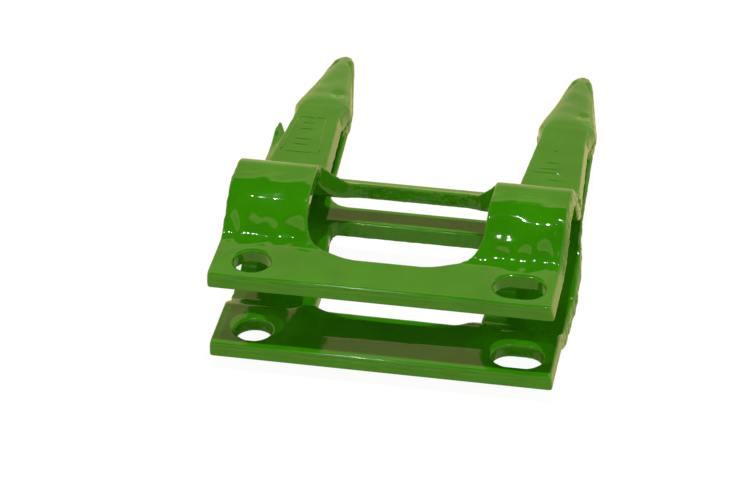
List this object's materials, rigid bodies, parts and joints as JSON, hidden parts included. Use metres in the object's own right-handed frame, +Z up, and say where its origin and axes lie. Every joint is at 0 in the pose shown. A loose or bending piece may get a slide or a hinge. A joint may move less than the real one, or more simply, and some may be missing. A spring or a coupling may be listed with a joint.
{
  "type": "double-finger knife guard",
  "caption": "Pressed-steel double-finger guard for a harvesting header's cutter bar: two bolted-on halves with a knife slot between them and welded, pointed tips.",
  "frame": {"origin": "on the lower flange's upper face, midway between the two bolt holes", "axes": "+Z up, square to the flanges; +Y forward, along the fingers to their tips; +X across the fingers, towards the slotted hole"},
  "size_m": [0.1038, 0.1496, 0.0436],
  "materials": {
    "green_enamel": "glossy green enamel over pressed steel",
    "weld_enamel": "glossy green enamel over a weld bead"
  },
  "bodies": {
    "root": {"upper_half": "green_enamel", "lower_half": "green_enamel", "left_tip_outer_weld": "weld_enamel", "left_tip_inner_weld": "weld_enamel", "right_tip_inner_weld": "weld_enamel", "right_tip_outer_weld": "weld_enamel"}
  },
  "joints": []
}
